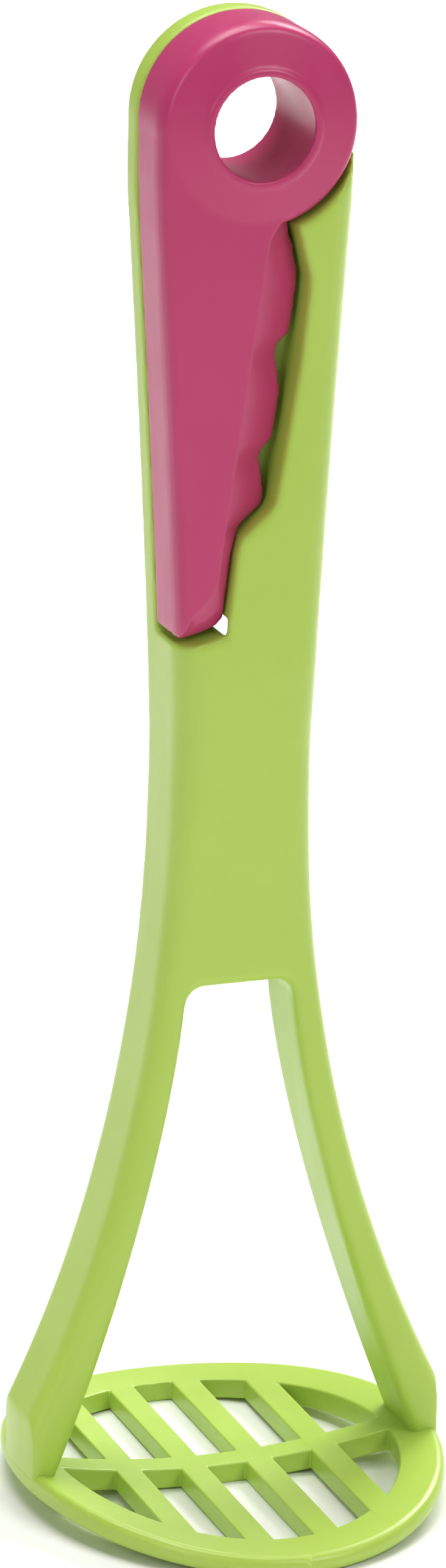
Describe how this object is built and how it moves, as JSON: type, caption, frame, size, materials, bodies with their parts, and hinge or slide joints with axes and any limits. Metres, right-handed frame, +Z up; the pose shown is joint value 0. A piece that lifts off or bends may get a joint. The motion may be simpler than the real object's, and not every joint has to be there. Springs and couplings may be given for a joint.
{
  "type": "potato masher with folding cutter",
  "caption": "Hand potato masher, one plastic moulding with an oval slotted head on two legs, and a serrated plastic cutter folded into its handle.",
  "frame": {"origin": "on the table, under the middle of the slotted head", "axes": "+X to the right across the two legs, +Y to the back, +Z up along the handle"},
  "size_m": [0.077, 0.093, 0.265],
  "materials": {
    "masher_plastic": "satin injection moulding",
    "cutter_plastic": "satin injection moulding"
  },
  "bodies": {
    "masher": {"handle": "masher_plastic", "left_leg": "masher_plastic", "right_leg": "masher_plastic", "head_rim": "masher_plastic", "head_rib": "masher_plastic", "head_bars": "masher_plastic"},
    "cutter": {"cutter_ring": "cutter_plastic", "cutter_blade": "cutter_plastic"}
  },
  "joints": [
    {"name": "cutter_pivot", "type": "hinge", "parent": "masher", "child": "cutter", "pos_m": [0, 0, 0.247], "axis": [0, 1, 0], "range_deg": [0, 180]}
  ]
}
